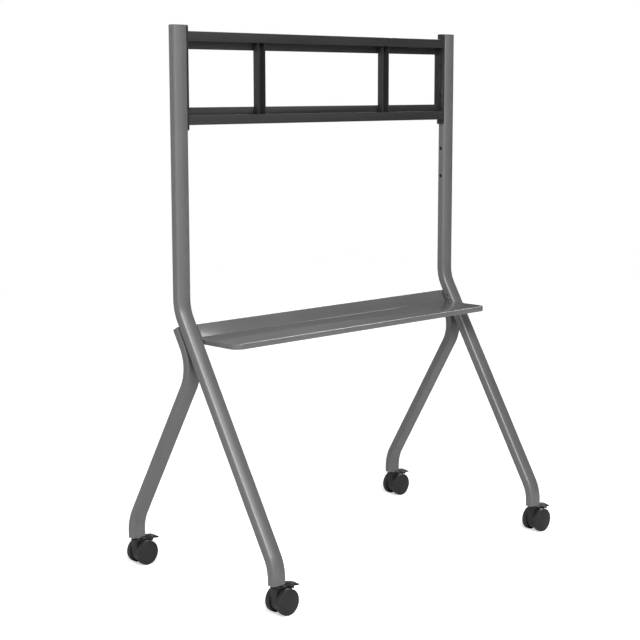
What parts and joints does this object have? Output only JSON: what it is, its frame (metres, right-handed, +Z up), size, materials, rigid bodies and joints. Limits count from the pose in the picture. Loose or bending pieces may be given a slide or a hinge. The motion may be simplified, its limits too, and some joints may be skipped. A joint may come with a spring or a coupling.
{
  "type": "mobile display stand",
  "caption": "Rolling floor stand for a large screen: bent tube masts with splayed legs, slotted mounting frame, folded shelf and braked casters.",
  "frame": {"origin": "middle of the footprint box on the floor", "axes": "+Z up, -Y the front where the screen hangs and the shelf reaches out, +X along the shelf to the right"},
  "size_m": [1.232, 0.6836, 1.6],
  "materials": {
    "grey_paint": "satin powder coat",
    "shelf_paint": "smooth semi-gloss powder coat",
    "grey_cap": "fine moulded texture",
    "black_insert": "moulded",
    "black_paint": "matte powder coat",
    "zinc_steel": "zinc plated",
    "black_screw": "black oxide",
    "caster_housing": "moulded nylon",
    "caster_lever": "moulded nylon",
    "caster_wheel": "moulded hub and tread"
  },
  "bodies": {
    "stand": {"left_front_leg": "grey_paint", "left_rear_leg": "grey_paint", "left_mast_cap": "grey_cap", "left_rear_leg_cap": "grey_cap", "left_front_foot_insert": "black_insert", "left_rear_foot_insert": "black_insert", "left_side_plate": "black_paint", "left_mullion": "black_paint", "right_front_leg": "grey_paint", "right_rear_leg": "grey_paint", "right_mast_cap": "grey_cap", "right_rear_leg_cap": "grey_cap", "right_front_foot_insert": "black_insert", "right_rear_foot_insert": "black_insert", "right_side_plate": "black_paint", "right_mullion": "black_paint", "top_rail": "black_paint", "bottom_rail": "black_paint", "shelf": "shelf_paint", "mast_rivet_nuts": "zinc_steel", "shelf_rivet_nuts": "zinc_steel", "leg_rivet_nuts": "zinc_steel", "leg_spacers": "zinc_steel", "frame_screws": "black_screw", "shelf_screws": "black_screw", "leg_bolts": "black_screw", "side_plate_bolts": "black_screw", "mullion_bolts": "black_screw", "left_front_caster_stem": "zinc_steel", "left_rear_caster_stem": "zinc_steel", "right_front_caster_stem": "zinc_steel", "right_rear_caster_stem": "zinc_steel"},
    "left_front_caster": {"left_front_caster_housing": "caster_housing", "left_front_caster_axle": "zinc_steel", "left_front_caster_lever_pin": "zinc_steel"},
    "left_front_caster_wheel_front": {"left_front_caster_wheel_front": "caster_wheel"},
    "left_front_caster_wheel_rear": {"left_front_caster_wheel_rear": "caster_wheel"},
    "left_front_caster_lever": {"left_front_caster_lever": "caster_lever"},
    "left_rear_caster": {"left_rear_caster_housing": "caster_housing", "left_rear_caster_axle": "zinc_steel", "left_rear_caster_lever_pin": "zinc_steel"},
    "left_rear_caster_wheel_front": {"left_rear_caster_wheel_front": "caster_wheel"},
    "left_rear_caster_wheel_rear": {"left_rear_caster_wheel_rear": "caster_wheel"},
    "left_rear_caster_lever": {"left_rear_caster_lever": "caster_lever"},
    "right_front_caster": {"right_front_caster_housing": "caster_housing", "right_front_caster_axle": "zinc_steel", "right_front_caster_lever_pin": "zinc_steel"},
    "right_front_caster_wheel_front": {"right_front_caster_wheel_front": "caster_wheel"},
    "right_front_caster_wheel_rear": {"right_front_caster_wheel_rear": "caster_wheel"},
    "right_front_caster_lever": {"right_front_caster_lever": "caster_lever"},
    "right_rear_caster": {"right_rear_caster_housing": "caster_housing", "right_rear_caster_axle": "zinc_steel", "right_rear_caster_lever_pin": "zinc_steel"},
    "right_rear_caster_wheel_front": {"right_rear_caster_wheel_front": "caster_wheel"},
    "right_rear_caster_wheel_rear": {"right_rear_caster_wheel_rear": "caster_wheel"},
    "right_rear_caster_lever": {"right_rear_caster_lever": "caster_lever"}
  },
  "joints": [
    {"name": "left_front_caster_swivel", "type": "hinge", "parent": "stand", "child": "left_front_caster", "pos_m": [-0.592, -0.312, 0.07], "axis": [0, 0, 1], "continuous": true},
    {"name": "left_front_caster_wheel_front_spin", "type": "hinge", "parent": "left_front_caster", "child": "left_front_caster_wheel_front", "pos_m": [-0.572, -0.312, 0.0375], "axis": [0, 1, 0], "continuous": true},
    {"name": "left_front_caster_wheel_rear_spin", "type": "hinge", "parent": "left_front_caster", "child": "left_front_caster_wheel_rear", "pos_m": [-0.572, -0.312, 0.0375], "axis": [0, 1, 0], "continuous": true},
    {"name": "left_front_caster_lever_press", "type": "hinge", "parent": "left_front_caster", "child": "left_front_caster_lever", "pos_m": [-0.562, -0.312, 0.068], "axis": [0, 1, 0], "range_deg": [0, 12]},
    {"name": "left_rear_caster_swivel", "type": "hinge", "parent": "stand", "child": "left_rear_caster", "pos_m": [-0.592, 0.312, 0.07], "axis": [0, 0, 1], "continuous": true},
    {"name": "left_rear_caster_wheel_front_spin", "type": "hinge", "parent": "left_rear_caster", "child": "left_rear_caster_wheel_front", "pos_m": [-0.572, 0.312, 0.0375], "axis": [0, 1, 0], "continuous": true},
    {"name": "left_rear_caster_wheel_rear_spin", "type": "hinge", "parent": "left_rear_caster", "child": "left_rear_caster_wheel_rear", "pos_m": [-0.572, 0.312, 0.0375], "axis": [0, 1, 0], "continuous": true},
    {"name": "left_rear_caster_lever_press", "type": "hinge", "parent": "left_rear_caster", "child": "left_rear_caster_lever", "pos_m": [-0.562, 0.312, 0.068], "axis": [0, 1, 0], "range_deg": [0, 12]},
    {"name": "right_front_caster_swivel", "type": "hinge", "parent": "stand", "child": "right_front_caster", "pos_m": [0.538, -0.312, 0.07], "axis": [0, 0, 1], "continuous": true},
    {"name": "right_front_caster_wheel_front_spin", "type": "hinge", "parent": "right_front_caster", "child": "right_front_caster_wheel_front", "pos_m": [0.558, -0.312, 0.0375], "axis": [0, 1, 0], "continuous": true},
    {"name": "right_front_caster_wheel_rear_spin", "type": "hinge", "parent": "right_front_caster", "child": "right_front_caster_wheel_rear", "pos_m": [0.558, -0.312, 0.0375], "axis": [0, 1, 0], "continuous": true},
    {"name": "right_front_caster_lever_press", "type": "hinge", "parent": "right_front_caster", "child": "right_front_caster_lever", "pos_m": [0.568, -0.312, 0.068], "axis": [0, 1, 0], "range_deg": [0, 12]},
    {"name": "right_rear_caster_swivel", "type": "hinge", "parent": "stand", "child": "right_rear_caster", "pos_m": [0.538, 0.312, 0.07], "axis": [0, 0, 1], "continuous": true},
    {"name": "right_rear_caster_wheel_front_spin", "type": "hinge", "parent": "right_rear_caster", "child": "right_rear_caster_wheel_front", "pos_m": [0.558, 0.312, 0.0375], "axis": [0, 1, 0], "continuous": true},
    {"name": "right_rear_caster_wheel_rear_spin", "type": "hinge", "parent": "right_rear_caster", "child": "right_rear_caster_wheel_rear", "pos_m": [0.558, 0.312, 0.0375], "axis": [0, 1, 0], "continuous": true},
    {"name": "right_rear_caster_lever_press", "type": "hinge", "parent": "right_rear_caster", "child": "right_rear_caster_lever", "pos_m": [0.568, 0.312, 0.068], "axis": [0, 1, 0], "range_deg": [0, 12]}
  ]
}
